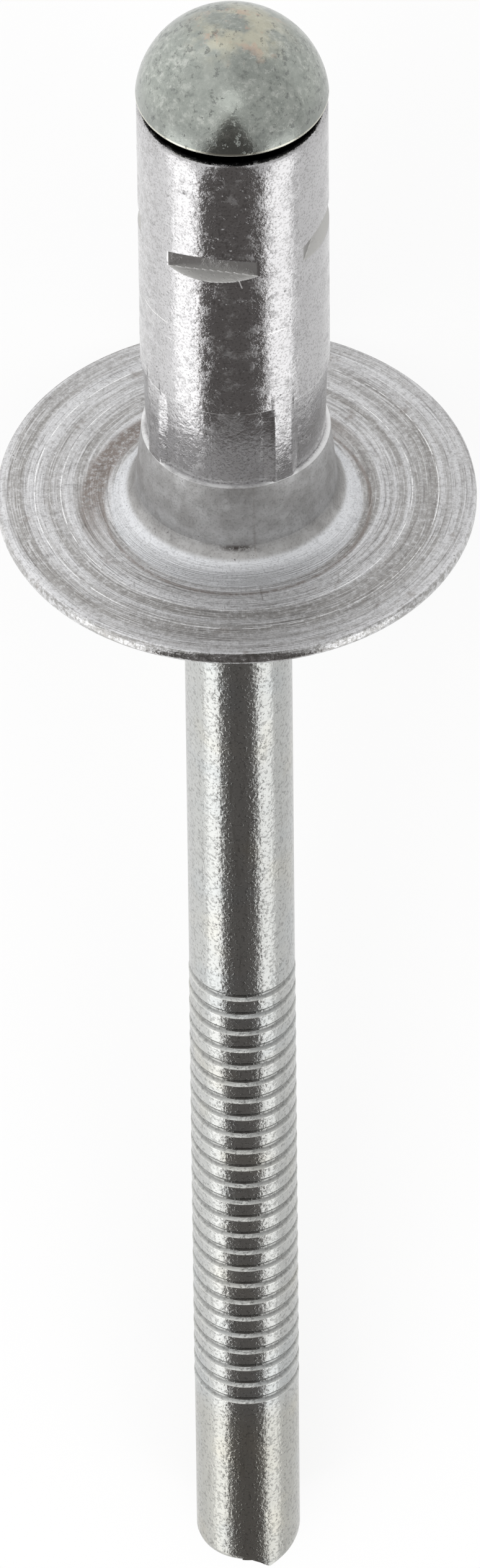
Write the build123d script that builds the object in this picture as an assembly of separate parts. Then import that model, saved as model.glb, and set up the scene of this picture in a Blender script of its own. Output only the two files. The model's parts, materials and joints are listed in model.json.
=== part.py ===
from build123d import *

import os
from math import atan2, cos, degrees, radians, sin, sqrt

# A blind rivet before it is set: a one-piece body, which is a tube with a wide thin flange, and the
# mandrel that runs through it. Both pieces are drawn upright in millimetres, with the mandrel's head
# up and the flange's bearing face at height 0. An angle around the axis is counted from the front,
# which is the -Y side, towards +X. The finished pieces are then laid down together.

# Body: the tube and its bore.
tube_diameter = 4.8
tube_length = 13.2
tube_end_chamfer = 0.09
bore_clearance = 0.05

# Body: the flange.
flange_diameter = 12.2
flange_edge_thickness = 0.42
flange_edge_chamfer = 0.16
flange_centre_thickness = 1.2
nose_seat_diameter = 4.6
nose_seat_countersink = 0.15

# Body: the flared root that joins the tube to the flange.
root_diameter = 5.14
root_height = 0.47
root_foot_reach = 0.63
flare_top = 2.28

# Body: the band of shallow pressed pockets with ribs left between them.
pocket_top = 4.79
pocket_upper_depth = 0.06
pocket_lower_depth = 0.13
rib_count = 4
rib_width = 0.5
rib_flank_width = 0.27
rib_angle = 30.0

# Body: the ring of flat notches that lets the tube fold as the rivet is set.
notch_count = 4
notch_height = 9.38
notch_depth = 0.305
notch_flat_height = 0.45
notch_upper_rise = 0.21
notch_lower_drop = 0.13
notch_angle = -14.6
notch_tilt = 3.0

# Mandrel: the domed head.
head_diameter = 4.84
head_height = 2.23
head_rim_lift = 0.32
head_rim_chamfer = 0.05
head_seat_diameter = 3.5

# Mandrel: the shank, with its weak neck inside the tube.
mandrel_diameter = 2.75
mandrel_reach = 37.72
neck_diameter = 1.9
neck_depth = 1.6
neck_width = 0.9
mandrel_turn = 2.0

# Mandrel: the rolled grooves that the setting tool's jaws grip.
groove_count = 25
groove_pitch = 0.62
groove_start = 16.6
groove_depth = 0.065
groove_upper_width = 0.15
groove_lower_width = 0.09
land_rise = 0.015

# Mandrel: the sheared tail.
tail_bevel_height = 0.17
tail_bevel_width = 0.1
tail_flat_depth = 0.12
burr_peak_length = 0.5
burr_shoulder_length = 0.37
burr_thickness = 0.25
burr_from_angle = -15.0
burr_peak_angle = 21.0
burr_shoulder_angle = 36.0
burr_to_angle = 82.0

tube_radius = tube_diameter / 2
flange_radius = flange_diameter / 2
mandrel_radius = mandrel_diameter / 2
head_radius = head_diameter / 2
bore_radius = mandrel_radius + bore_clearance
land_radius = mandrel_radius + land_rise
head_rim_height = tube_length + head_rim_lift


def revolved(outline):
    """The solid that an outline, drawn in radius and height, sweeps around the axis."""
    return revolve(Plane.XZ * make_face(outline), axis=Axis.Z)


def around_axis(shape, count, first_angle):
    """Equal copies of a shape made on the +X side, the first turned to first_angle from the front."""
    return [Rot(Z=first_angle - 90 + index * 360 / count) * shape for index in range(count)]


def tube_and_flange():
    """The whole body in section: tube, flared root, hollow foot, flat bearing face and tapered back."""
    root_radius = root_diameter / 2
    foot_radius = root_radius + root_foot_reach
    back_edge_height = flange_edge_chamfer - flange_edge_thickness

    foot = TangentArc((foot_radius, 0), (root_radius, root_height), tangent=(-1, 0))
    upper = Polyline(
        foot @ 1,
        (tube_radius, flare_top),
        (tube_radius, tube_length - tube_end_chamfer),
        (tube_radius - tube_end_chamfer, tube_length),
        (bore_radius, tube_length),
    )
    lower = Polyline(
        (bore_radius, tube_length),
        (bore_radius, nose_seat_countersink - flange_centre_thickness),
        (bore_radius + nose_seat_countersink, -flange_centre_thickness),
        (nose_seat_diameter / 2, -flange_centre_thickness),
        (flange_radius - flange_edge_chamfer, -flange_edge_thickness),
        (flange_radius, back_edge_height),
        (flange_radius, -flange_edge_chamfer),
        (flange_radius - flange_edge_chamfer, 0),
        (foot_radius, 0),
    )
    return revolved([foot, upper, lower])


def rib():
    """One rib on the +X side: a bar whose flanks slope from the tube's surface to the pocket's floor."""
    half_top = rib_width / 2
    half_foot = half_top + rib_flank_width
    outside = tube_radius + pocket_lower_depth
    top = sqrt(tube_radius**2 - half_top**2)
    foot = sqrt((tube_radius - pocket_lower_depth) ** 2 - half_foot**2)
    section = Polyline(
        (foot, half_foot),
        (top, half_top),
        (outside, half_top),
        (outside, -half_top),
        (top, -half_top),
        (foot, -half_foot),
        close=True,
    )
    return extrude(make_face(section), amount=pocket_top - flare_top)


def pocket_band():
    """What is pressed out of the tube between its ribs: a ring with a tapered inside, cut at each rib."""
    height = pocket_top - flare_top
    base = (Align.CENTER, Align.CENTER, Align.MIN)
    ring = Cylinder(tube_radius + pocket_lower_depth, height, align=base)
    floor = Cone(tube_radius - pocket_lower_depth, tube_radius - pocket_upper_depth, height, align=base)
    return Pos(Z=flare_top) * (ring - floor - around_axis(rib(), rib_count, rib_angle))


def notch_cutter():
    """One straight prism that leaves a flat across the tube's +X side, between two sloping walls."""
    beyond = 2.0
    root_radius = tube_radius - notch_depth
    outer_radius = root_radius + beyond * notch_depth
    section = make_face(
        Polyline(
            (root_radius, 0),
            (root_radius, notch_flat_height),
            (outer_radius, notch_flat_height + beyond * notch_upper_rise),
            (outer_radius, -beyond * notch_lower_drop),
            close=True,
        )
    )
    prism = extrude(Plane.XZ * section, amount=tube_radius, both=True)
    return Pos(Z=notch_height) * Rot(X=notch_tilt) * prism


def make_body():
    """The rivet body: one formed piece of aluminium."""
    return tube_and_flange() - pocket_band() - around_axis(notch_cutter(), notch_count, notch_angle)


def head_outline():
    """Half of the head in section, from its apex round the rim to the edge of its seat on the tube."""
    apex = (0, head_rim_height + head_height)
    dome = TangentArc(apex, (head_radius, head_rim_height + head_rim_chamfer), tangent=(1, 0))
    underside = Polyline(
        dome @ 1,
        (head_radius - head_rim_chamfer, head_rim_height),
        (head_seat_diameter / 2, tube_length),
    )
    return [dome, underside]


def shank_points():
    """The shank's outline below the head: plain length, weak neck, grip grooves and bevelled tail."""
    neck_middle = tube_length - neck_depth
    neck_land = neck_width / 4
    points = [
        (head_seat_diameter / 2, tube_length),
        (mandrel_radius, tube_length),
        (mandrel_radius, neck_middle + neck_width / 2),
        (neck_diameter / 2, neck_middle + neck_land),
        (neck_diameter / 2, neck_middle - neck_land),
        (mandrel_radius, neck_middle - neck_width / 2),
    ]
    for index in range(groove_count):
        edge = -groove_start - index * groove_pitch
        points.append((mandrel_radius, edge))
        points.append((land_radius - groove_depth, edge - groove_upper_width))
        points.append((land_radius, edge - groove_upper_width - groove_lower_width))
    points += [
        (mandrel_radius, -groove_start - groove_count * groove_pitch),
        (mandrel_radius, tail_bevel_height - mandrel_reach),
        (mandrel_radius - tail_bevel_width, -mandrel_reach),
        (0, -mandrel_reach),
    ]
    return points


def tail_burr():
    """The thin fin that shearing leaves on one side of the tail, flush with the shank's surface."""
    base = tail_bevel_height - mandrel_reach

    def across(angle):
        return mandrel_radius * sin(radians(angle))

    fin = make_face(
        Polyline(
            (across(burr_from_angle), base),
            (across(burr_peak_angle), base - burr_peak_length),
            (across(burr_shoulder_angle), base - burr_shoulder_length),
            (across(burr_to_angle), base),
            close=True,
        )
    )
    slab = extrude(Plane.XZ * fin, amount=mandrel_diameter)
    outer = Cylinder(mandrel_radius, 2 * burr_peak_length)
    inner = Cylinder(mandrel_radius - burr_thickness, 2 * burr_peak_length)
    return slab & (Pos(Z=base) * (outer - inner))


def tail_flat_cutter():
    """The space under the plane the rivet lies on, where the shear has flattened the tail's hidden side."""
    edge = Pos(Y=mandrel_radius - tail_flat_depth, Z=tail_bevel_height - mandrel_reach)
    centred_above = (Align.CENTER, Align.MIN, Align.CENTER)
    below = Box(2 * mandrel_diameter, mandrel_diameter, 2 * mandrel_diameter, align=centred_above)
    return edge * Rot(X=-lying_tilt()) * below


def make_mandrel():
    """The mandrel: one headed steel pin, from its dome to its sheared tail, as turned in the body."""
    outline = head_outline()
    shank = Polyline(*shank_points())
    axis_line = Line(shank @ 1, outline[0] @ 0)
    return Rot(Z=mandrel_turn) * (revolved(outline + [shank, axis_line]) + tail_burr()) - tail_flat_cutter()


def lying_tilt():
    """How far the axis slopes, in degrees, with the flange's rim and the tail's flat on one level."""
    rim_edge_height = flange_edge_chamfer - flange_edge_thickness
    tail_edge_height = tail_bevel_height - mandrel_reach
    tail_rise = flange_radius - mandrel_radius + tail_flat_depth
    return degrees(atan2(tail_rise, rim_edge_height - tail_edge_height))


def lay_down(shapes):
    """Lay the pieces on the level Z = 0, head up towards -X, front up, centred over the origin."""
    tilt = radians(lying_tilt())
    lying = Plane(origin=(0, 0, 0), x_dir=(0, 1, 0), z_dir=(-cos(tilt), 0, sin(tilt)))
    turned = [lying.location * shape for shape in shapes]
    box = turned[0].bounding_box()
    for shape in turned[1:]:
        box = box.add(shape.bounding_box())
    shift = Pos(-box.center().X, -box.center().Y, -box.min.Z)
    return [shift * shape for shape in turned]


os.makedirs("parts", exist_ok=True)
rivet_body, mandrel = lay_down([make_body(), make_mandrel()])
export_step(rivet_body, "parts/rivet_body.step")
export_step(mandrel, "parts/mandrel.step")
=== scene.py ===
import json
import math

import bpy
import numpy as np
from mathutils import Matrix, Vector


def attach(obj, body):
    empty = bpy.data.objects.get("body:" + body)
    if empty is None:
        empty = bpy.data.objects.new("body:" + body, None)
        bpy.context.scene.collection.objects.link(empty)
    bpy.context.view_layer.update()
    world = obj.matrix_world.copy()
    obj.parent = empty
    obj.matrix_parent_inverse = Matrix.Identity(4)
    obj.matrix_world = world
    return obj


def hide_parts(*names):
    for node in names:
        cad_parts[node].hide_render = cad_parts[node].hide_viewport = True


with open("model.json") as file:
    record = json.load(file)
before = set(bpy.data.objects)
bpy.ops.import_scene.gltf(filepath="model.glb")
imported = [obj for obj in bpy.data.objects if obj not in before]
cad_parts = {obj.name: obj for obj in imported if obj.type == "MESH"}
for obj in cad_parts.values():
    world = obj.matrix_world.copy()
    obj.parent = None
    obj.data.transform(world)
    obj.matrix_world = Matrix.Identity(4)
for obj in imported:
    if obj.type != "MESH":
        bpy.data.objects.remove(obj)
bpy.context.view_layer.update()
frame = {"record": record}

# Dressed model of an unset blind rivet. Its two pieces are turned skins, built here from the same
# dimensions as the solids (in millimetres, upright, head up, bearing face of the flange at height 0)
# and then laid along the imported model's own axis. An azimuth is counted in degrees from the side
# that faces the camera, towards the right of the picture.

MM = 0.001

# Body.
TUBE_RADIUS = 2.4
TUBE_LENGTH = 13.2
TUBE_CHAMFER = 0.09
BORE_RADIUS = 1.425
BORE_BEVEL = 0.03
BORE_COUNTERSINK = 0.15
FLANGE_RADIUS = 6.1
FLANGE_EDGE = 0.42
FLANGE_CENTRE = 1.2
FLANGE_CHAMFER = 0.16
NOSE_SEAT_RADIUS = 2.3
ROOT_RADIUS = 2.57
ROOT_HEIGHT = 0.47
FOOT_RADIUS = 3.2
FLARE_TOP = 2.28
FLARE_OUTSET = 0.004
POCKET_TOP = 4.79
POCKET_UPPER_DEPTH = 0.06
POCKET_LOWER_DEPTH = 0.13
POCKET_LEDGE = 0.03
RIB_WIDTH = 0.5
RIB_FLANK = 0.27
RIB_AZIMUTHS = (30, 120, 210, 300)
NOTCH_HEIGHT = 9.38
NOTCH_DEPTH = 0.305
NOTCH_FLAT = 0.45
NOTCH_RISE = 0.21
NOTCH_DROP = 0.13
NOTCH_TILT = 3.0
NOTCH_AZIMUTHS = (-14.6, 75.4, 165.4, 255.4)

# Mandrel.
HEAD_RADIUS = 2.42
HEAD_HEIGHT = 2.23
HEAD_EDGE = 0.05
HEAD_SEAT_RADIUS = 1.75
HEAD_GAP = 0.32
HEAD_RIM = TUBE_LENGTH + HEAD_GAP
SHANK_RADIUS = 1.375
GROOVE_COUNT = 25
GROOVE_PITCH = 0.62
GROOVE_START = -16.6
GROOVES_END = GROOVE_START - GROOVE_COUNT * GROOVE_PITCH
GROOVE_DEPTH = 0.065
LAND_RISE = 0.015
LAND_SLOPE = 0.004
# Down from a groove's upper edge: the wall's foot, the floor's end, the far wall's middle, the land.
GROOVE_WALL = 0.09
GROOVE_FLOOR = 0.15
GROOVE_CLIMB = 0.2
LAND_START = 0.24
LAND_END = 0.3
TAIL_END = -37.72
TAIL_BEVEL_HEIGHT = 0.17
TAIL_BEVEL_WIDTH = 0.1
TAIL_EDGE = TAIL_END + TAIL_BEVEL_HEIGHT
TAIL_FLAT_DEPTH = 0.12
TAIL_FLAT_LENGTH = 1.1
BURR_AZIMUTHS = (-14, 0, 13, 22, 25, 38, 65, 84)
BURR_REACHES = (0, 0.1, 0.28, 0.47, 0.5, 0.37, 0.18, 0)
BURR_THINNEST = 0.05
BURR_INSET = 0.02

# Make of the skins.
BODY_COLUMNS = 480
MANDREL_COLUMNS = 312
SHARP_ANGLE = math.radians(24)
SAME_HEIGHT = 1e-6
SAME_RADIUS = 0.001
# The dome's first row stands beside its top, in degrees up from its rim.
DOME_START = 89.7
# The rows inside the tail's end face.
TAIL_FACE_RADII = (0.4, 0.1)
# A cut or a press on one side reaches round as far as this cosine.
SIDE_COSINE = 0.5
LEAST_COSINE = 0.01
# How far beyond a notch's edges its rows of faces reach, since the edges tilt.
UPPER_EDGE_BAND = 0.08
LOWER_EDGE_BAND = 0.09
# Points that round an edge, as shares of the edge's size.
ROUND_SHARE = 0.3
ROUND_SHARES = (0.18, 0.55)
# The rounded upper side of the flange's rim: how far in and how far down.
RIM_ROUNDING = ((0.08, 0), (0.04, 0.01), (0.026, 0.035), (0.016, 0.09))

# Frame of the lying rivet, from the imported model's mounts.
mounts = {mount["name"]: mount for mount in frame["record"]["mounts"]}
AXIS = Vector(mounts["shank"]["axis"]).normalized()
RIGHT = Vector((0, 1, 0))
FRONT = AXIS.cross(RIGHT) * -1
shank_middle = Vector(mounts["shank"]["pos_m"])
to_bearing = (Vector(mounts["bearing_face"]["pos_m"]) - shank_middle).dot(AXIS)
ORIGIN = shank_middle + AXIS * to_bearing


def place(right, front, height):
    """The point of the lying rivet at upright coordinates in millimetres."""
    return ORIGIN + (RIGHT * right + FRONT * front + AXIS * height) * MM


# Camera, at the photograph's angle, far off with a long lens.
CAMERA_LIFT = math.radians(43.8)
CAMERA_DISTANCE = 0.503
CAMERA_LEAN = math.radians(0.66)
CAMERA_LENS = 455
CAMERA_SENSOR = 36
CAMERA_NEAREST = 0.01
CAMERA_FARTHEST = 20
AIM_HEIGHT = -0.17
AIM_BELOW_RIM = 7.344


def add_camera():
    towards = AXIS * math.sin(CAMERA_LIFT) + FRONT * math.cos(CAMERA_LIFT)
    upward = AXIS * math.cos(CAMERA_LIFT) - FRONT * math.sin(CAMERA_LIFT)
    target = place(0, 0, AIM_HEIGHT) - upward * AIM_BELOW_RIM * MM
    up = upward * math.cos(CAMERA_LEAN) + RIGHT * math.sin(CAMERA_LEAN)
    side = up.cross(towards)
    data = bpy.data.cameras.new("camera")
    data.sensor_fit = "VERTICAL"
    data.sensor_height = CAMERA_SENSOR
    data.lens = CAMERA_LENS
    data.clip_start = CAMERA_NEAREST
    data.clip_end = CAMERA_FARTHEST
    camera = bpy.data.objects.new("camera", data)
    rotation = Matrix((side, up, towards)).transposed().to_4x4()
    camera.matrix_world = Matrix.Translation(target + towards * CAMERA_DISTANCE) @ rotation
    bpy.context.scene.collection.objects.link(camera)
    bpy.context.scene.camera = camera


# Skins.

def line(start, end, count):
    """Points from start up to but not including end."""
    steps = np.arange(count)[:, None] / count
    return np.array(start) + (np.array(end) - np.array(start)) * steps


def arc(centre, radius, from_angle, to_angle, count):
    """Points of an arc, its angles in degrees from the outward radius, without its last point."""
    angles = np.radians(from_angle + (to_angle - from_angle) * np.arange(count) / count)
    return np.array(centre) + radius * np.stack([np.cos(angles), np.sin(angles)], 1)


def corner_path(corners):
    """A path through (radius, height, steps to the next corner) corners."""
    runs = [line(a[:2], b[:2], a[2]) for a, b in zip(corners, corners[1:])]
    return np.vstack(runs)


def turned_grids(path, columns):
    """Grids of radius and height, with a row for each point of the path, and the columns' azimuths."""
    radii = np.repeat(path[:, :1], columns, 1)
    heights = np.repeat(path[:, 1:], columns, 1)
    return radii, heights, np.arange(columns) * 360 / columns


def skin_faces(rows, columns, closed):
    """Quads between neighbouring rows and columns, and two end caps where the path isn't closed."""
    row = np.arange(rows if closed else rows - 1)[:, None]
    column = np.arange(columns)[None, :]
    beside = (column + 1) % columns
    below = (row + 1) % rows
    quads = [row * columns + column, below * columns + column,
             below * columns + beside, row * columns + beside]
    faces = np.stack(np.broadcast_arrays(*quads), -1).reshape(-1, 4).tolist()
    if not closed:
        faces.append([int(i) for i in range(columns)])
        faces.append([int(i) for i in reversed(range((rows - 1) * columns, rows * columns))])
    return faces


def skin(name, radii, heights, closed):
    """A quad skin from grids of radius and height, each row running once around the axis."""
    rows, columns = radii.shape
    azimuths = np.radians(np.arange(columns) * 360 / columns)
    right = radii * np.sin(azimuths)
    front = radii * np.cos(azimuths)
    axes = [np.array(v) for v in (RIGHT, FRONT, AXIS)]
    points = sum(grid[..., None] * axis for grid, axis in zip((right, front, heights), axes))
    vertices = (np.array(ORIGIN) + points * MM).reshape(-1, 3)
    mesh = bpy.data.meshes.new(name)
    mesh.from_pydata(vertices.tolist(), [], skin_faces(rows, columns, closed))
    mesh.validate()
    mesh.shade_smooth()
    mesh.set_sharp_from_angle(angle=SHARP_ANGLE)
    piece = bpy.data.objects.new(name, mesh)
    bpy.context.scene.collection.objects.link(piece)
    return piece


def turn_from(azimuths, centre):
    """Signed angle in radians from a centre azimuth to each azimuth."""
    return np.radians((azimuths - centre + 180) % 360 - 180)


def press_pockets(radii, heights, azimuths):
    """Lowers the band between the ribs, deepest at its lower ledge."""
    inside = (heights > FLARE_TOP + SAME_HEIGHT) & (heights < POCKET_TOP - SAME_HEIGHT)
    depth = np.interp(heights, (FLARE_TOP, POCKET_TOP), (POCKET_LOWER_DEPTH, POCKET_UPPER_DEPTH))
    across = np.full(radii.shape, np.inf)
    for centre in RIB_AZIMUTHS:
        offset = np.abs(turn_from(azimuths, centre)) * TUBE_RADIUS
        across = np.minimum(across, offset)
    share = np.clip((across - RIB_WIDTH / 2) / RIB_FLANK, 0, 1)
    return np.where(inside, radii - depth * share, radii)


def cut_notches(radii, heights, azimuths):
    """Cuts the four straight notches: a flat between two sloping walls, each a little tilted."""
    for centre in NOTCH_AZIMUTHS:
        turn = turn_from(azimuths, centre)
        along = TUBE_RADIUS * np.sin(turn)
        rise = heights - NOTCH_HEIGHT - along * math.tan(math.radians(NOTCH_TILT))
        above = np.maximum(rise - NOTCH_FLAT, 0) * NOTCH_DEPTH / NOTCH_RISE
        below = np.maximum(-rise, 0) * NOTCH_DEPTH / NOTCH_DROP
        flat = TUBE_RADIUS - NOTCH_DEPTH + above + below
        limit = flat / np.maximum(np.cos(turn), SIDE_COSINE)
        radii = np.where(np.cos(turn) > SIDE_COSINE, np.minimum(radii, limit), radii)
    return radii


def grow_burr(radii, heights, azimuths):
    """Pulls the tail's edge out into the thin fin that shearing left on it."""
    outer_share = 0.9
    turn = (azimuths + 180) % 360 - 180
    reach = np.interp(turn, BURR_AZIMUTHS, BURR_REACHES)
    outer = radii > SHANK_RADIUS - outer_share * TAIL_BEVEL_WIDTH
    on_bevel = (heights < TAIL_EDGE - SAME_HEIGHT) & outer
    share = np.clip((TAIL_EDGE - heights) / (outer_share * TAIL_BEVEL_HEIGHT), 0, 1)
    lowered = np.minimum(heights, TAIL_EDGE - reach * share)
    outward = SHANK_RADIUS - BURR_INSET * share
    grown = on_bevel & (reach > BURR_THINNEST)
    return np.where(grown, np.maximum(radii, outward), radii), np.where(on_bevel, lowered, heights)


def flatten_tail(radii, heights, azimuths):
    """Presses the hidden side of the tail flat, onto the plane the rivet lies on."""
    tail_rise = FLANGE_RADIUS - SHANK_RADIUS + TAIL_FLAT_DEPTH
    slope = tail_rise / (FLANGE_CHAMFER - FLANGE_EDGE - TAIL_EDGE)
    limit = SHANK_RADIUS - TAIL_FLAT_DEPTH + slope * (heights - TAIL_EDGE)
    behind = -np.cos(np.radians(azimuths))[None, :] + 0 * heights
    pressed = np.minimum(radii, limit / np.maximum(behind, LEAST_COSINE))
    return np.where(behind > SIDE_COSINE, pressed, radii)


def tube_path():
    """The bore and the tube's outside, down to the flare's root."""
    notch_top = NOTCH_HEIGHT + NOTCH_FLAT + NOTCH_RISE
    round_edge = ROUND_SHARE * TUBE_CHAMFER
    return corner_path([
        (BORE_RADIUS, -FLANGE_CENTRE + BORE_COUNTERSINK, 2),
        (BORE_RADIUS, TUBE_LENGTH - BORE_BEVEL, 2),
        (BORE_RADIUS + BORE_BEVEL, TUBE_LENGTH, 3),
        (TUBE_RADIUS - TUBE_CHAMFER, TUBE_LENGTH, 2),
        (TUBE_RADIUS - round_edge, TUBE_LENGTH - round_edge, 2),
        (TUBE_RADIUS, TUBE_LENGTH - TUBE_CHAMFER, 5),
        (TUBE_RADIUS, notch_top + UPPER_EDGE_BAND, 24),
        (TUBE_RADIUS, NOTCH_HEIGHT + NOTCH_FLAT - UPPER_EDGE_BAND, 6),
        (TUBE_RADIUS, NOTCH_HEIGHT + LOWER_EDGE_BAND, 26),
        (TUBE_RADIUS, NOTCH_HEIGHT - NOTCH_DROP - LOWER_EDGE_BAND, 8),
        (TUBE_RADIUS, POCKET_TOP, 1),
        (TUBE_RADIUS, POCKET_TOP - POCKET_LEDGE, 18),
        (TUBE_RADIUS, FLARE_TOP + POCKET_LEDGE, 1),
        (TUBE_RADIUS, FLARE_TOP, 1),
        (TUBE_RADIUS + FLARE_OUTSET, FLARE_TOP - POCKET_LEDGE, 8),
        (ROOT_RADIUS, ROOT_HEIGHT, 1),
        (ROOT_RADIUS, ROOT_HEIGHT, 1),
    ])


def foot_path():
    """The hollow fillet from the flare's root out to the flange."""
    reach = FOOT_RADIUS - ROOT_RADIUS
    fillet_radius = (reach ** 2 + ROOT_HEIGHT ** 2) / (2 * ROOT_HEIGHT)
    sweep = math.degrees(math.asin(reach / fillet_radius))
    return arc((FOOT_RADIUS, fillet_radius), fillet_radius, -90 - sweep, -90, 14)


def flange_path():
    """The flange's bearing face, its rim and its back, as far as the bore."""
    edge = FLANGE_CHAMFER
    near, far = ROUND_SHARES
    corners = [(FOOT_RADIUS, 0, 14)]
    corners += [(FLANGE_RADIUS - inward, -down, 1) for inward, down in RIM_ROUNDING]
    corners += [
        (FLANGE_RADIUS, -edge, 2),
        (FLANGE_RADIUS, edge - FLANGE_EDGE, 1),
        (FLANGE_RADIUS - near * edge, far * edge - FLANGE_EDGE, 1),
        (FLANGE_RADIUS - far * edge, near * edge - FLANGE_EDGE, 1),
        (FLANGE_RADIUS - edge, -FLANGE_EDGE, 10),
        (NOSE_SEAT_RADIUS, -FLANGE_CENTRE, 3),
        (BORE_RADIUS + BORE_COUNTERSINK, -FLANGE_CENTRE, 2),
        (BORE_RADIUS, -FLANGE_CENTRE + BORE_COUNTERSINK, 1),
    ]
    return corner_path(corners)


def make_body_skin():
    path = np.vstack([tube_path(), foot_path(), flange_path()])
    radii, heights, azimuths = turned_grids(path, BODY_COLUMNS)
    outer = radii > TUBE_RADIUS - SAME_RADIUS
    shaped = cut_notches(press_pockets(radii, heights, azimuths), heights, azimuths)
    radii = np.where(outer, shaped, radii)
    return skin("body_skin", radii, heights, closed=True)


def dome_path():
    """The head's dome, from beside its top to its edge."""
    rise = HEAD_HEIGHT - HEAD_EDGE
    dome_radius = (HEAD_RADIUS ** 2 + rise ** 2) / (2 * rise)
    half_sweep = math.degrees(math.asin(HEAD_RADIUS / dome_radius))
    centre = HEAD_RIM + HEAD_HEIGHT - dome_radius
    return arc((0, centre), dome_radius, DOME_START, 90 - half_sweep, 44)


def head_corners():
    """The head's rim, the cone and the seat under it, and the plain shank."""
    round_edge = ROUND_SHARE * HEAD_EDGE
    return [
        (HEAD_RADIUS, HEAD_RIM + HEAD_EDGE, 1),
        (HEAD_RADIUS - round_edge, HEAD_RIM + round_edge, 1),
        (HEAD_RADIUS - HEAD_EDGE, HEAD_RIM, 3),
        (HEAD_SEAT_RADIUS, TUBE_LENGTH, 1),
        (SHANK_RADIUS, TUBE_LENGTH, 2),
        (SHANK_RADIUS, -FLANGE_CENTRE, 14),
    ]


def groove_corners(edge):
    """One rolled groove and its land, from the groove's upper edge down."""
    lip = SHANK_RADIUS + LAND_RISE
    return [
        (SHANK_RADIUS, edge, 2),
        (SHANK_RADIUS - 0.75 * GROOVE_DEPTH, edge - GROOVE_WALL, 1),
        (lip - GROOVE_DEPTH, edge - GROOVE_FLOOR, 1),
        (lip - 0.4 * GROOVE_DEPTH, edge - GROOVE_CLIMB, 1),
        (lip, edge - LAND_START, 1),
        (lip - LAND_SLOPE, edge - LAND_END, 2),
    ]


def tail_corners():
    """The plain tail, its rounded edge and its end face."""
    corners = [
        (SHANK_RADIUS, GROOVES_END, 12),
        (SHANK_RADIUS, TAIL_EDGE + TAIL_FLAT_LENGTH, 22),
        (SHANK_RADIUS, TAIL_EDGE, 4),
        (SHANK_RADIUS - 0.3 * TAIL_BEVEL_WIDTH, TAIL_END + 0.35 * TAIL_BEVEL_HEIGHT, 1),
        (SHANK_RADIUS - 0.6 * TAIL_BEVEL_WIDTH, TAIL_END + 0.1 * TAIL_BEVEL_HEIGHT, 1),
        (SHANK_RADIUS - TAIL_BEVEL_WIDTH, TAIL_END, 3),
    ]
    return corners + [(radius, TAIL_END, 1) for radius in TAIL_FACE_RADII]


def make_mandrel_skin():
    corners = head_corners()
    for index in range(GROOVE_COUNT):
        corners += groove_corners(GROOVE_START - index * GROOVE_PITCH)
    path = np.vstack([dome_path(), corner_path(corners + tail_corners())])
    radii, heights, azimuths = turned_grids(path, MANDREL_COLUMNS)
    radii, heights = grow_burr(radii, heights, azimuths)
    radii = flatten_tail(radii, heights, azimuths)
    return skin("mandrel_skin", radii, heights, closed=False)


# Materials.

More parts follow.
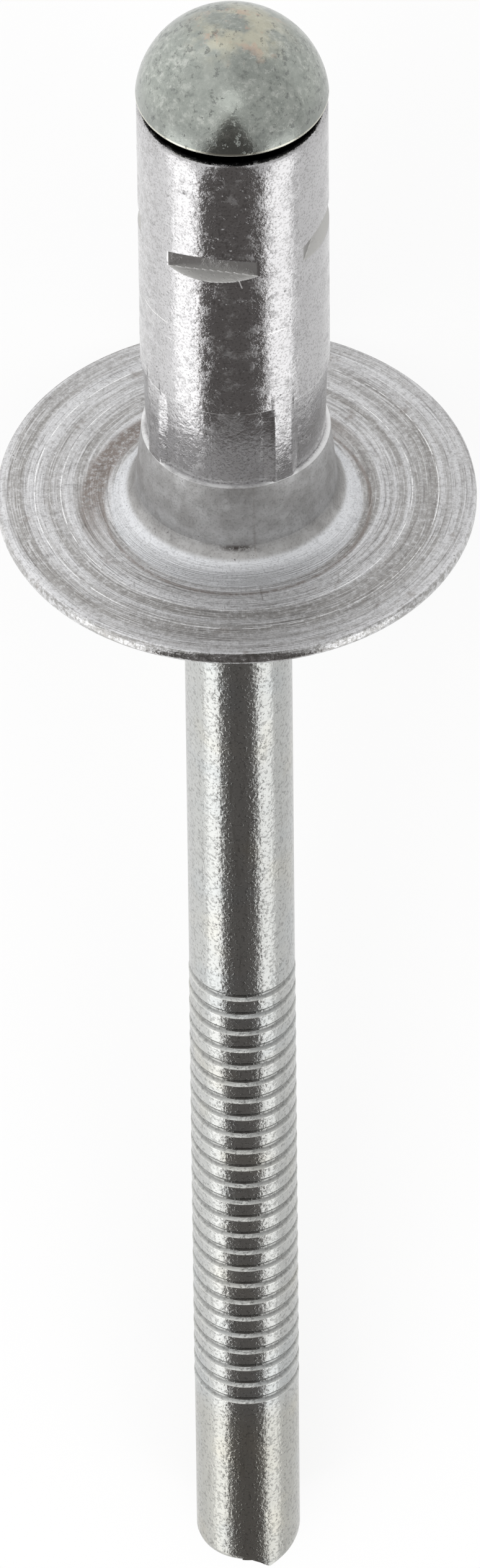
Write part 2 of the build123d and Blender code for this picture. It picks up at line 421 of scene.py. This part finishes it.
class Graph:
    """Short ways to wire shader nodes."""

    def __init__(self, tree):
        self.tree = tree

    def node(self, kind, **settings):
        made = self.tree.nodes.new(kind)
        for key, value in settings.items():
            setattr(made, key, value)
        return made

    def put(self, socket, value):
        if isinstance(value, bpy.types.NodeSocket):
            self.tree.links.new(value, socket)
        else:
            socket.default_value = value

    def math(self, operation, *values):
        made = self.node("ShaderNodeMath", operation=operation)
        for socket, value in zip(made.inputs, values):
            self.put(socket, value)
        return made.outputs[0]

    def times(self, first, second):
        return self.math("MULTIPLY", first, second)

    def plus(self, first, second):
        return self.math("ADD", first, second)

    def minus(self, first, second):
        return self.math("SUBTRACT", first, second)

    def larger(self, first, second):
        return self.math("MAXIMUM", first, second)

    def smooth(self, value, low, high, out_low=0.0, out_high=1.0):
        """Goes softly from out_low to out_high while value goes from low to high."""
        made = self.node("ShaderNodeMapRange", interpolation_type="SMOOTHSTEP")
        for socket, item in zip(made.inputs, (value, low, high, out_low, out_high)):
            self.put(socket, item)
        return made.outputs[0]

    def falling(self, value, low, high):
        """1 below low, 0 above high."""
        return self.smooth(value, low, high, 1.0, 0.0)

    def between(self, value, low, high, soft):
        """1 where value lies between low and high, fading over soft."""
        up = self.smooth(value, low - soft, low + soft)
        down = self.falling(value, high - soft, high + soft)
        return self.times(up, down)

    def mix(self, factor, first, second):
        made = self.node("ShaderNodeMix", data_type="RGBA")
        self.put(made.inputs[0], factor)
        self.put(made.inputs[6], first)
        self.put(made.inputs[7], second)
        return made.outputs[2]

    def paint(self, colour, tone, mask, amount=None):
        """The colour with a tone laid over it where the mask is 1, as strongly as the amount says."""
        if amount is not None:
            mask = self.times(mask, amount)
        return self.mix(mask, colour, tone)

    def blend(self, factor, first, second):
        made = self.node("ShaderNodeMix", data_type="FLOAT")
        self.put(made.inputs[0], factor)
        self.put(made.inputs[2], first)
        self.put(made.inputs[3], second)
        return made.outputs[0]

    def vector(self, x, y, z):
        made = self.node("ShaderNodeCombineXYZ")
        for socket, value in zip(made.inputs, (x, y, z)):
            self.put(socket, value)
        return made.outputs[0]

    def noise(self, vector, scale, detail=2.0, roughness=0.5):
        made = self.node("ShaderNodeTexNoise")
        self.put(made.inputs["Vector"], vector)
        self.put(made.inputs["Scale"], scale)
        self.put(made.inputs["Detail"], detail)
        self.put(made.inputs["Roughness"], roughness)
        return made.outputs["Fac"]

    def length(self, first, second):
        squares = [self.times(value, value) for value in (first, second)]
        return self.math("SQRT", self.plus(*squares))

    def dot(self, vector, axis):
        made = self.node("ShaderNodeVectorMath", operation="DOT_PRODUCT")
        self.put(made.inputs[0], vector)
        made.inputs[1].default_value = axis
        return made.outputs["Value"]

    def degrees(self, value):
        return self.times(value, 180 / math.pi)

    def bump(self, height, distance, strength=1.0, normal=None):
        made = self.node("ShaderNodeBump")
        self.put(made.inputs["Height"], height)
        self.put(made.inputs["Distance"], distance)
        self.put(made.inputs["Strength"], strength)
        if normal is not None:
            self.put(made.inputs["Normal"], normal)
        return made.outputs[0]


class Surface(Graph):
    """A metal with its graph, its shader and the rivet's upright coordinates in millimetres.

    The masks and noises that several functions need are kept on it too.
    """

    def __init__(self, name):
        self.material = bpy.data.materials.new(name)
        self.material.use_nodes = True
        super().__init__(self.material.node_tree)
        self.shader = self.tree.nodes["Principled BSDF"]
        self.shader.inputs["Metallic"].default_value = 1.0
        moved = self.node("ShaderNodeVectorMath", operation="SUBTRACT")
        self.put(moved.inputs[0], self.node("ShaderNodeTexCoord").outputs["Object"])
        moved.inputs[1].default_value = ORIGIN
        axes = [axis / MM for axis in (RIGHT, FRONT, AXIS)]
        self.right, self.front, self.height = (self.dot(moved.outputs[0], axis) for axis in axes)
        self.upright = self.vector(self.right, self.front, self.height)

    def facing(self):
        """How far the surface faces the head: 1 straight at it, -1 straight away."""
        return self.dot(self.node("ShaderNodeTexCoord").outputs["Normal"], AXIS)


def grey(level):
    return (level, level, level, 1)


# Tones of the body.
TUBE_TONES = (0.41, 0.405, 0.41, 1), (0.53, 0.525, 0.53, 1)
FLARE_TONES = (0.41, 0.405, 0.40, 1), (0.58, 0.58, 0.58, 1)
FLANGE_TONES = (0.36, 0.35, 0.34, 1), (0.66, 0.66, 0.67, 1)
DARK_SPECK = (0.24, 0.23, 0.225, 1)
LIGHT_SPECK = (0.70, 0.70, 0.71, 1)
DARK_RING = (0.20, 0.19, 0.185, 1)
LIGHT_RING = (0.78, 0.78, 0.79, 1)
BRIGHT_RING = (1.0, 1.0, 1.0, 1)
DIRT_SPECK = (0.2, 0.185, 0.175, 1)
COLLAR = (0.73, 0.74, 0.76, 1)
STAIN = (0.21, 0.175, 0.155, 1)
SCRATCH = (0.2, 0.18, 0.17, 1)
RIM_DIRT = (0.3, 0.295, 0.285, 1)
SMUDGE = (0.23, 0.20, 0.18, 1)
FLARE_FOOT_SHADE = (0.26, 0.25, 0.24, 1)
DRAWN_SEAM = (0.22, 0.19, 0.17, 1)
SMEAR = (0.09, 0.08, 0.075, 1)
BODY_PIT = (0.13, 0.12, 0.115, 1)
BODY_GRAIN = (0.13, 0.125, 0.12, 1)
RUBBED = (0.2, 0.195, 0.19, 1)
TUBE_RING = (0.8, 0.79, 0.78, 1)
EDGE_HIGHLIGHT_AND_CHIP = (0.85, 0.85, 0.85, 1)
NOTCH_PLAIN_AND_LIT_TONES = (0.39, 0.385, 0.38, 1), (0.55, 0.545, 0.53, 1)
NOTCH_FOLD_HIGHLIGHT = (0.95, 0.95, 0.95, 1)
BODY_CREVICE_SHADE = (0.02, 0.018, 0.015, 1)

# Roughness of the body.
TUBE_ROUGHNESS = 0.14
FLARE_ROUGHNESS = 0.44
FLANGE_ROUGHNESS = 0.38
RIM_ROUGHNESS = 0.17
WALL_ROUGHNESSES = (0.3, 0.5)
BRIGHT_LINE_ROUGHNESS = 0.55
SCUFF_ROUGHENING = 0.28

# Relief of the body, in metres.
BODY_PEEL_HEIGHT = 0.000006
BODY_GRAIN_HEIGHT = 0.0000011
SCUFF_HEIGHT = 0.00001
BODY_PIT_DEPTH = 0.000015
RING_HEIGHT = 0.00002

# Where the single marks are: from, to, softness.
FLANGE_MARK_RADII = (4.46, 4.48, 0.01), (5.13, 5.15, 0.01)
STAIN_RADII = (3.34, 3.95, 0.1)
STAIN_EDGE_RADII = (3.32, 3.42, 0.04)
SCRATCH_TURN = (8.6, 9.0, 0.25)
SCRATCH_RADII = (3.7, 4.15, 0.05)
SEAM_TURN = (9.6, 10.4, 0.8)
SMEAR_TURN = (-8.0, 8.0, 6.0)
SMEAR_HEIGHTS = (0.34, 0.46, 0.06)
TUBE_RING_HEIGHTS = (7.13, 7.15, 0.012), (6.62, 6.63, 0.01)
CHIP_TURN = (2.8, 3.6, 0.3)
CHIP_HEIGHTS = (9.08, 9.4, 0.03)


def find_body_regions(g):
    """Masks of the flange, the flare, the tube and the crevice at the tube's end, where shade is
    painted.
    """
    g.radius = g.length(g.right, g.front)
    g.turn = g.degrees(g.math("ARCTAN2", g.right, g.front))
    g.on_flange = g.times(g.smooth(g.radius, 2.72, 2.86), g.falling(g.height, 0.3, 0.42))
    below_ledge = g.falling(g.height, FLARE_TOP - 0.02, FLARE_TOP + 0.02)
    g.on_flare = g.times(below_ledge, g.falling(g.radius, 3.0, 3.3))
    g.on_tube = g.times(g.falling(g.on_flange, 0.0, 1.0), g.falling(g.on_flare, 0.0, 1.0))
    at_end = g.smooth(g.height, TUBE_LENGTH - 0.04, TUBE_LENGTH - 0.01)
    g.in_crevice = g.times(at_end, g.falling(g.radius, 2.24, 2.31))
    # The collar round the foot and the stains beside it aren't quite round.
    g.uneven = g.minus(g.radius, g.times(g.front, 0.13))


def find_notch_faces(g):
    """Masks of the notches, of their walls that face the head, which are painted lighter as if lit,
    and of the folds beside them, which carry a painted highlight.
    """
    notch_top = NOTCH_HEIGHT + NOTCH_FLAT + NOTCH_RISE
    notch_band = g.between(g.height, NOTCH_HEIGHT - 0.3, notch_top + 0.1, 0.02)
    g.in_notch = g.times(notch_band, g.falling(g.radius, TUBE_RADIUS - 0.012, TUBE_RADIUS - 0.003))
    facing = g.facing()
    g.on_wall = g.smooth(facing, 0.1, 0.4)
    g.on_fold = g.between(facing, 0.08, 0.3, 0.04)


def add_body_noises(g):
    """Orange peel, grain, scuffs, pits, mottle and specks everywhere, and rings round the axis."""
    g.peel = g.noise(g.upright, 7.5, 1.0, 0.5)
    g.grain = g.smooth(g.noise(g.upright, 17.0, 1.0, 0.5), 0.52, 0.64)
    g.scuffs = g.smooth(g.noise(g.upright, 2.8, 5.0, 0.75), 0.48, 0.7)
    g.pits = g.smooth(g.noise(g.upright, 7.0, 3.0, 0.6), 0.68, 0.76)
    g.mottle = g.noise(g.upright, 1.6, 4.0, 0.65)
    g.speckle = g.noise(g.upright, 7.0, 4.0, 0.75)
    drift = g.noise(g.upright, 0.35, 1.0, 0.5)
    drifting_radius = g.plus(g.radius, g.times(drift, 0.12))
    ring_vector = g.vector(drifting_radius, g.times(g.right, 0.02), g.times(g.front, 0.02))
    g.broad_rings = g.noise(ring_vector, 3.0, 2.0, 0.6)
    g.fine_rings = g.noise(ring_vector, 22.0, 3.0, 0.75)


def turned_flange(g):
    """The flange's bare metal: turned rings, specks and two bright tool marks."""
    flange = g.mix(g.smooth(g.broad_rings, 0.35, 0.65), *FLANGE_TONES)
    flange = g.paint(flange, DARK_SPECK, g.smooth(g.speckle, 0.36, 0.5, 0.42, 0.0))
    flange = g.paint(flange, LIGHT_SPECK, g.smooth(g.speckle, 0.5, 0.64, 0.0, 0.6))
    flange = g.paint(flange, DARK_RING, g.smooth(g.fine_rings, 0.34, 0.46, 0.6, 0.0))
    flange = g.paint(flange, LIGHT_RING, g.smooth(g.fine_rings, 0.54, 0.64, 0.0, 0.6))
    marks = g.larger(*(g.between(g.radius, *radii) for radii in FLANGE_MARK_RADII))
    flange = g.paint(flange, BRIGHT_RING, g.times(marks, g.smooth(g.mottle, 0.42, 0.55)))
    return g.paint(flange, DIRT_SPECK, g.smooth(g.speckle, 0.64, 0.7), 0.6)


def foot_stains(g):
    """The stains round the foot's collar, stronger behind the tube."""
    behind = g.falling(g.plus(g.front, g.times(g.right, 0.6)), -2.6, 0.8)
    stained = g.times(g.between(g.uneven, *STAIN_RADII), behind)
    edge = g.times(g.between(g.uneven, *STAIN_EDGE_RADII), 0.8)
    return g.times(g.larger(stained, edge), g.smooth(g.speckle, 0.32, 0.56))


def flange_colour(g):
    flange = turned_flange(g)
    flange = g.paint(flange, COLLAR, g.falling(g.uneven, 3.12, 3.24), 0.82)
    flange = g.paint(flange, STAIN, foot_stains(g), 0.9)
    scratch = g.times(g.between(g.turn, *SCRATCH_TURN), g.between(g.radius, *SCRATCH_RADII))
    flange = g.paint(flange, SCRATCH, scratch, 0.6)
    at_rim = g.smooth(g.radius, FLANGE_RADIUS - 0.06, FLANGE_RADIUS - 0.02)
    flange = g.paint(flange, RIM_DIRT, at_rim, g.smooth(g.speckle, 0.4, 0.6, 0.9, 0.2))
    blotches = g.smooth(g.noise(g.upright, 1.3, 4.0, 0.65), 0.6, 0.7)
    smudge = g.times(blotches, g.smooth(g.uneven, 3.3, 3.5))
    return g.paint(flange, SMUDGE, smudge, 0.45)


def flare_colour(g):
    """The matt flare, with painted shade darkening its foot, and one drawn seam."""
    flare = g.mix(g.smooth(g.mottle, 0.3, 0.7), *FLARE_TONES)
    # Painted shade at the flare's foot, in the corner it makes with the flange.
    flare = g.paint(flare, FLARE_FOOT_SHADE, g.smooth(g.height, 0.3, 0.75, 0.4, 0.0))
    drawn = g.between(g.turn, *SEAM_TURN)
    return g.paint(flare, DRAWN_SEAM, drawn, g.smooth(g.speckle, 0.4, 0.6, 0.5, 0.1))


def body_dirt(g, colour):
    """Lays the smear at the foot, the pits, the grain and the rubbed left side over the body."""
    smear = g.times(g.between(g.turn, *SMEAR_TURN), g.between(g.height, *SMEAR_HEIGHTS))
    colour = g.paint(colour, SMEAR, smear, g.smooth(g.speckle, 0.4, 0.5))
    colour = g.paint(colour, BODY_PIT, g.pits, 0.5)
    colour = g.paint(colour, BODY_GRAIN, g.grain, g.blend(g.on_tube, 0.2, 0.36))
    rubbed = g.times(g.falling(g.turn, -62.0, -42.0), g.on_tube)
    blotches = g.smooth(g.noise(g.upright, 4.5, 4.0, 0.8), 0.44, 0.6, 0.0, 0.4)
    return g.paint(colour, RUBBED, rubbed, blotches)


def tube_rings(g):
    """Two fine bright rings that wander round the tube."""
    ringed = g.minus(g.height, g.times(g.noise(g.upright, 0.5, 3.0, 0.6), 0.5))
    rings = g.larger(*(g.between(ringed, *heights) for heights in TUBE_RING_HEIGHTS))
    return g.times(rings, g.times(g.on_tube, g.smooth(g.mottle, 0.45, 0.55)))


def worn_edges(g):
    """Painted highlights along the pocket band's ledge and top edge, and the streak of a curled chip
    below the front notch.
    """
    at_ledge = g.between(g.height, FLARE_TOP - 0.01, FLARE_TOP + 0.02, 0.01)
    ledge = g.times(at_ledge, g.falling(g.radius, 2.5, 2.6))
    top_line = g.between(g.height, POCKET_TOP - 0.02, POCKET_TOP + 0.01, 0.012)
    worn = g.times(g.larger(ledge, top_line), g.smooth(g.mottle, 0.3, 0.6, 0.3, 0.9))
    slant = g.plus(g.turn, g.times(g.minus(g.height, 9.3), 7.0))
    chip = g.times(g.between(slant, *CHIP_TURN), g.between(g.height, *CHIP_HEIGHTS))
    return g.larger(worn, g.times(chip, g.on_tube))


def body_colour(g):
    tube = g.mix(g.mottle, *TUBE_TONES)
    colour = g.mix(g.on_flange, g.mix(g.on_flare, tube, flare_colour(g)), flange_colour(g))
    colour = body_dirt(g, colour)
    colour = g.paint(colour, TUBE_RING, tube_rings(g))
    # Painted highlights on the pocket band's ledge and top edge, and the bright streak of a curled
    # chip.
    colour = g.paint(colour, EDGE_HIGHLIGHT_AND_CHIP, g.worn)
    # Painted light: notch walls that face the head get the lighter tone, as if lit.
    cut = g.mix(g.on_wall, *NOTCH_PLAIN_AND_LIT_TONES)
    # Painted highlight: the fold between each notch's flat and its wall is painted near-white.
    colour = g.mix(g.in_notch, colour, g.mix(g.on_fold, cut, NOTCH_FOLD_HIGHLIGHT))
    # Painted shade: the tube's end face under the head's rim is painted near-black.
    return g.paint(colour, BODY_CREVICE_SHADE, g.in_crevice)


def body_roughness(g):
    inner, outer = FLANGE_RADIUS - 0.1, FLANGE_RADIUS - 0.05
    flange = g.smooth(g.radius, inner, outer, FLANGE_ROUGHNESS, RIM_ROUGHNESS)
    rough = g.blend(g.on_flare, g.blend(g.on_flange, TUBE_ROUGHNESS, flange), FLARE_ROUGHNESS)
    scuffed = g.plus(rough, g.times(g.scuffs, SCUFF_ROUGHENING))
    rough = g.blend(g.in_notch, scuffed, g.blend(g.on_wall, *WALL_ROUGHNESSES))
    return g.blend(g.worn, rough, BRIGHT_LINE_ROUGHNESS)


def body_relief(g):
    """Peel and grain, weaker in the notches, scuffs on the tube, pits, and rings on the flange."""
    relief = g.bump(g.peel, BODY_PEEL_HEIGHT, g.blend(g.larger(g.on_flare, g.in_notch), 1.0, 0.3))
    relief = g.bump(g.grain, BODY_GRAIN_HEIGHT, g.blend(g.in_notch, 1.0, 0.3), relief)
    relief = g.bump(g.scuffs, SCUFF_HEIGHT, g.times(g.on_tube, 0.4), relief)
    relief = g.bump(g.times(g.pits, -1.0), BODY_PIT_DEPTH, 1.0, relief)
    return g.bump(g.fine_rings, RING_HEIGHT, g.times(g.on_flange, 1.0), relief)


def body_material():
    """Aluminium: a pitted satin tube, a matt flare and a turned flange with stains."""
    g = Surface("rivet_aluminium")
    find_body_regions(g)
    find_notch_faces(g)
    add_body_noises(g)
    g.worn = worn_edges(g)
    g.put(g.shader.inputs["Base Color"], body_colour(g))
    g.put(g.shader.inputs["Roughness"], body_roughness(g))
    g.put(g.shader.inputs["Normal"], body_relief(g))
    return g.material


# Tones of the mandrel.
SHANK_TONES = (0.36, 0.365, 0.355, 1), (0.50, 0.505, 0.49, 1)
TAIL_TONES = (0.355, 0.35, 0.315, 1), (0.43, 0.425, 0.39, 1)
DRAWN_LINE = (0.24, 0.235, 0.22, 1)
WARM_ZINC = (0.5, 0.47, 0.38, 1)
COOL_ZINC = (0.38, 0.42, 0.45, 1)
SHANK_GRAIN = (0.11, 0.11, 0.105, 1)
GROOVE_SHADE = (0.16, 0.16, 0.155, 1)
LAND_EDGE_HIGHLIGHT = (0.72, 0.72, 0.69, 1)
HEAD_TONES = (0.29, 0.31, 0.285, 1), (0.35, 0.37, 0.34, 1)
LIGHT_CRUST = (0.50, 0.515, 0.48, 1)
DARK_CRUST = (0.17, 0.18, 0.17, 1)
LOW_DOME_SHADE = (0.2, 0.21, 0.2, 1)
YELLOW_BLOOM = (0.54, 0.51, 0.39, 1)
RED_BLOOM = (0.52, 0.37, 0.29, 1)
HEAD_PIT = (0.12, 0.125, 0.125, 1)
HEAD_RIM_LINE = (0.75, 0.73, 0.62, 1)
MANDREL_CREVICE_SHADE = (0.01, 0.01, 0.01, 1)

# Roughness of the mandrel, and its relief in metres.
SHANK_ROUGHNESS = 0.22
HEAD_ROUGHNESS = 0.2
MANDREL_PEEL_HEIGHT = 0.000009
MANDREL_GRAIN_HEIGHT = 0.0000032
DRAWN_HEIGHT = 0.00001
HEAD_PIT_DEPTH = 0.000012


def find_mandrel_regions(g):
    """Masks of the head, the crevice under it where shade is painted, and the grooves' valleys and
    lands.
    """
    g.on_head = g.smooth(g.height, HEAD_RIM - 0.3, HEAD_RIM)
    g.in_crevice = g.between(g.height, TUBE_LENGTH - 0.5, HEAD_RIM + 0.01, 0.01)
    on_grip = g.between(g.height, GROOVES_END + 0.25, GROOVE_START + 0.02, 0.02)
    along = g.math("DIVIDE", g.minus(GROOVE_START, g.height), GROOVE_PITCH)
    phase = g.math("FRACT", along)
    g.valley = g.times(on_grip, g.between(phase, 0.02, 0.3, 0.03))
    g.land_edge = g.times(on_grip, g.between(phase, 0.35, 0.42, 0.03))


def add_mandrel_noises(g):
    """Fine peel and grain, drawing lines along the shank, pits on the head."""
    g.peel = g.noise(g.upright, 9.0, 1.0, 0.5)
    g.grain = g.smooth(g.noise(g.upright, 11.0, 2.0, 0.55), 0.5, 0.66)
    drawn_vector = g.vector(g.right, g.front, g.times(g.height, 0.12))
    g.drawn = g.noise(drawn_vector, 7.0, 3.0, 0.6)
    pit_vector = g.vector(g.right, g.times(g.front, 0.7), g.height)
    g.pits = g.smooth(g.noise(pit_vector, 5.0, 4.0, 0.7), 0.58, 0.66)
    g.mottle = g.noise(g.upright, 2.2, 5.0, 0.7)


def shank_colour(g):
    tint = g.noise(g.upright, 0.55, 2.0, 0.5)
    tail = g.smooth(g.height, GROOVES_END - 0.6, GROOVES_END + 0.4, 0.7, 0.0)
    shank = g.mix(tail, g.mix(g.mottle, *SHANK_TONES), g.mix(g.mottle, *TAIL_TONES))
    shank = g.paint(shank, DRAWN_LINE, g.smooth(g.drawn, 0.55, 0.75), 0.4)
    shank = g.paint(shank, WARM_ZINC, g.smooth(tint, 0.55, 0.7), 0.25)
    shank = g.paint(shank, COOL_ZINC, g.falling(tint, 0.32, 0.45), 0.2)
    shank = g.paint(shank, SHANK_GRAIN, g.grain, 0.45)
    # Painted shade in the grooves' valleys.
    shank = g.paint(shank, GROOVE_SHADE, g.valley, 0.45)
    # Painted highlight on the edge where each groove climbs to its land.
    return g.paint(shank, LAND_EDGE_HIGHLIGHT, g.land_edge, 0.4)


def crusted_head(g):
    """The dull head under patches of light and dark crust, with painted shade low on the dome."""
    crust = g.noise(g.upright, 5.5, 4.0, 0.75)
    crusted = g.smooth(g.noise(g.upright, 0.8, 1.0, 0.5), 0.35, 0.6, 0.35, 1.0)
    head = g.mix(g.smooth(g.mottle, 0.35, 0.65), *HEAD_TONES)
    head = g.paint(head, LIGHT_CRUST, crusted, g.smooth(crust, 0.5, 0.66, 0.0, 0.75))
    head = g.paint(head, DARK_CRUST, crusted, g.smooth(crust, 0.34, 0.46, 0.7, 0.0))
    # Painted shade on the lower part of the dome, near its rim.
    return g.paint(head, LOW_DOME_SHADE, g.smooth(g.height, HEAD_RIM + 0.2, HEAD_RIM + 1.0, 0.45, 0.0))


def head_colour(g):
    head = crusted_head(g)
    high = g.falling(g.length(g.plus(g.right, -0.2), g.front), 0.6, 1.6)
    yellow = g.times(high, g.smooth(g.noise(g.upright, 1.1, 3.0, 0.6), 0.42, 0.6))
    head = g.paint(head, YELLOW_BLOOM, yellow, 0.6)
    red = g.times(high, g.smooth(g.noise(g.upright, 1.9, 3.0, 0.6), 0.56, 0.66))
    head = g.paint(head, RED_BLOOM, red, 0.5)
    return g.paint(head, HEAD_PIT, g.pits, 0.45)


def mandrel_relief(g):
    """Peel and grain, weaker on the head, drawing lines on the shank and pits on the head."""
    relief = g.bump(g.peel, MANDREL_PEEL_HEIGHT, g.blend(g.on_head, 1.0, 0.22))
    relief = g.bump(g.grain, MANDREL_GRAIN_HEIGHT, g.blend(g.on_head, 1.0, 0.34), relief)
    relief = g.bump(g.drawn, DRAWN_HEIGHT, g.blend(g.on_head, 0.5, 0.0), relief)
    return g.bump(g.times(g.pits, -1.0), HEAD_PIT_DEPTH, g.on_head, relief)


def mandrel_material():
    """Zinc-plated steel: a dull pitted head, a drawn shank and rolled grooves with painted shade in
    their valleys and painted highlights at their lands' edges.
    """
    g = Surface("mandrel_zinc")
    find_mandrel_regions(g)
    add_mandrel_noises(g)
    colour = g.mix(g.on_head, shank_colour(g), head_colour(g))
    colour = g.paint(colour, HEAD_RIM_LINE, g.between(g.height, HEAD_RIM, HEAD_RIM + 0.09, 0.02), 0.6)
    # Painted shade: the shank and the head's underside in the gap above the tube are painted
    # near-black.
    colour = g.paint(colour, MANDREL_CREVICE_SHADE, g.in_crevice)
    g.put(g.shader.inputs["Base Color"], colour)
    g.put(g.shader.inputs["Roughness"], g.blend(g.on_head, SHANK_ROUGHNESS, HEAD_ROUGHNESS))
    g.put(g.shader.inputs["Normal"], mandrel_relief(g))
    return g.material


# Studio.
FLOOR_HALF = 2.0
FLOOR_DROP = 0.00002
FLOOR_LIGHTNESS = 0.22
FLOOR_GLOW = 0.82
MIRRORED_GLOW = 1.15


def floor_mesh():
    half = FLOOR_HALF
    corners = [(-half, -half, 0), (half, -half, 0), (half, half, 0), (-half, half, 0)]
    mesh = bpy.data.meshes.new("floor")
    mesh.from_pydata(corners, [], [(0, 1, 2, 3)])
    return mesh


def floor_material():
    """White that glows, and more so at the rivet's left where the metal mirrors it."""
    material = bpy.data.materials.new("floor_white")
    material.use_nodes = True
    nodes = material.node_tree.nodes
    nodes.remove(nodes["Principled BSDF"])
    g = Graph(material.node_tree)
    diffuse = g.node("ShaderNodeBsdfDiffuse")
    diffuse.inputs[0].default_value = grey(FLOOR_LIGHTNESS)
    sideways = g.dot(g.node("ShaderNodeTexCoord").outputs["Object"], RIGHT)
    beside = g.falling(sideways, -0.012, 0.0)
    mirrored = g.times(beside, g.node("ShaderNodeLightPath").outputs["Is Glossy Ray"])
    glow = g.node("ShaderNodeEmission")
    glow.inputs[0].default_value = grey(1.0)
    g.put(glow.inputs["Strength"], g.blend(mirrored, FLOOR_GLOW, MIRRORED_GLOW))
    both = g.node("ShaderNodeAddShader")
    g.put(both.inputs[0], diffuse.outputs[0])
    g.put(both.inputs[1], glow.outputs[0])
    g.put(nodes["Material Output"].inputs[0], both.outputs[0])
    return material


def add_floor():
    """A white floor that glows enough to read as white and keeps a soft shadow."""
    mesh = floor_mesh()
    floor = bpy.data.objects.new("floor", mesh)
    floor.location.z = -FLOOR_DROP
    bpy.context.scene.collection.objects.link(floor)
    mesh.materials.append(floor_material())


# The studio's dark wall: an oval in front of the rivet, in degrees of direction.
DARK_TONE = (1.0, 0.93, 0.9, 1)
DARK_LEVEL = 0.155
DARK_RIGHT = -1.5
DARK_HALF_WIDTH = 19.0
DARK_TAPER = 0.22
DARK_HEADWARD = -32.0
DARK_HALF_LENGTH = 52.0
# Its strip lights stand to both sides, at these angles from the front.
STRIP_CENTRE = -2.0
STRIP_ANGLES = (41.0, 77.0, 3.0)
STRIP_LEVEL = 1.1
LAMP_LEVEL = 0.6
LAMP_DIRECTION = AXIS * 0.62 + FRONT * 0.78
LEFT_LEVEL = 1.12
RIGHT_LEVEL = 0.78


def outside_dark_wall(g, right, front, height):
    """0 on the dark wall, 1 outside it."""
    sideways = g.degrees(g.math("ARCSINE", right))
    headward = g.degrees(g.math("ARCTAN2", height, front))
    along = g.math("DIVIDE", g.plus(headward, -DARK_HEADWARD), DARK_HALF_LENGTH)
    half_width = g.minus(DARK_HALF_WIDTH, g.times(headward, DARK_TAPER))
    across = g.math("DIVIDE", g.plus(sideways, -DARK_RIGHT), half_width)
    reach = g.plus(g.math("POWER", along, 2.0), g.math("POWER", across, 2.0))
    return g.smooth(reach, 0.9, 1.15)


def studio_level(g, direction, right, front, height):
    """How bright the studio is without its dark wall: two strip lights, a lamp and a lighter left."""
    turn = g.degrees(g.math("ARCTAN2", right, front))
    around = g.math("ABSOLUTE", g.plus(turn, -STRIP_CENTRE))
    strips = g.times(g.between(around, *STRIP_ANGLES), g.falling(height, -0.5, -0.15))
    lamp = g.smooth(g.dot(direction, LAMP_DIRECTION), 0.95, 0.99)
    base = g.smooth(right, -0.4, 0.3, LEFT_LEVEL, RIGHT_LEVEL)
    return g.plus(base, g.plus(g.times(strips, STRIP_LEVEL), g.times(lamp, LAMP_LEVEL)))


def add_world():
    """White to the camera. To the object, a studio with two strip lights along the rivet's sides."""
    world = bpy.data.worlds.new("studio")
    bpy.context.scene.world = world
    world.use_nodes = True
    g = Graph(world.node_tree)
    background = world.node_tree.nodes["Background"]
    direction = g.node("ShaderNodeTexCoord").outputs["Generated"]
    right, front, height = (g.dot(direction, axis) for axis in (RIGHT, FRONT, AXIS))
    outside = outside_dark_wall(g, right, front, height)
    level = g.blend(outside, DARK_LEVEL, studio_level(g, direction, right, front, height))
    seen = g.node("ShaderNodeLightPath").outputs["Is Camera Ray"]
    g.put(background.inputs["Strength"], g.blend(seen, level, 1.0))
    g.put(background.inputs["Color"], g.mix(g.larger(outside, seen), DARK_TONE, grey(1.0)))


bpy.context.scene.view_settings.view_transform = "Standard"
add_camera()
add_floor()
add_world()

for make, material, node in ((make_body_skin, body_material, "rivet_body"),
                             (make_mandrel_skin, mandrel_material, "mandrel")):
    piece = make()
    piece.data.materials.append(material())
    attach(piece, "root")
    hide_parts(node)
